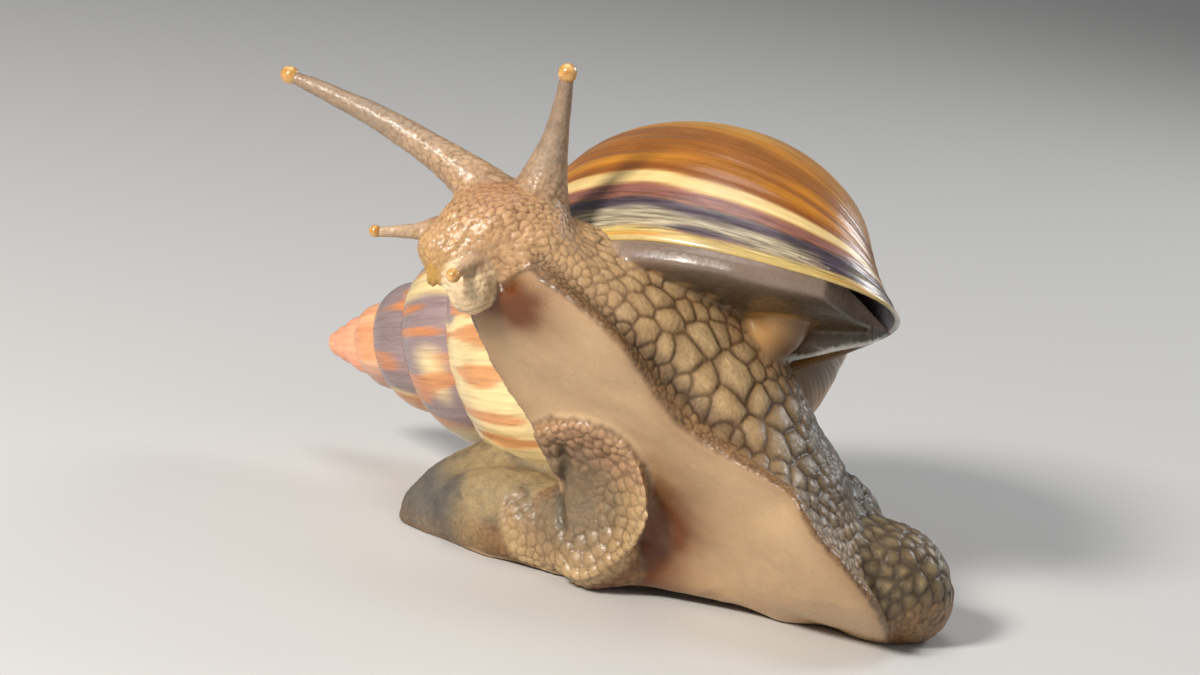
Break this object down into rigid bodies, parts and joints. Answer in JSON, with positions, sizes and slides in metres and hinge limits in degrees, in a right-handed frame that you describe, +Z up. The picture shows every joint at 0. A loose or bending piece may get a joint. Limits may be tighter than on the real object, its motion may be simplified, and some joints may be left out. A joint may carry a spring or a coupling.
{
  "type": "giant african land snail",
  "caption": "Life-size giant african land snail, reared up with the foot bent round, tentacles out and the spiral shell over its tail.",
  "frame": {"origin": "middle of the base of the box round the whole snail", "axes": "+Z up, the head towards -X, the raised sole faces -Y and the shell's tip points to -X and +Y"},
  "size_m": [0.1398, 0.1018, 0.0984],
  "materials": {
    "skin": "moist granular skin, tan tubercles in dark brown grooves",
    "sole": "smooth wet tan sole",
    "head": "moist, finely granular and warm tan",
    "tentacle": "moist grey-brown",
    "eye": "glossy amber knobs",
    "shell": "glossy amber with pale yellow and slate bands",
    "spire": "cream and salmon with purple-grey blotches",
    "mantle": "wet grey-brown"
  },
  "bodies": {
    "root": {"tail": "skin", "foot_rear": "skin", "foot_bend": "skin", "neck": "skin", "foot_heel": "skin", "foot_bulge": "skin", "foot_fold": "skin", "foot_front": "sole", "head": "head", "mouth_lobe_left": "head", "mouth_lobe_right": "head", "tentacle_upper_left": "tentacle", "tentacle_upper_right": "tentacle", "tentacle_lower_left": "tentacle", "tentacle_lower_right": "tentacle", "eye_left": "eye", "eye_right": "eye", "tip_lower_left": "eye", "tip_lower_right": "eye", "shell_body_whorl": "shell", "shell_spire": "spire", "shell_apex": "spire", "mantle": "mantle", "mantle_lobe": "mantle"}
  },
  "joints": []
}
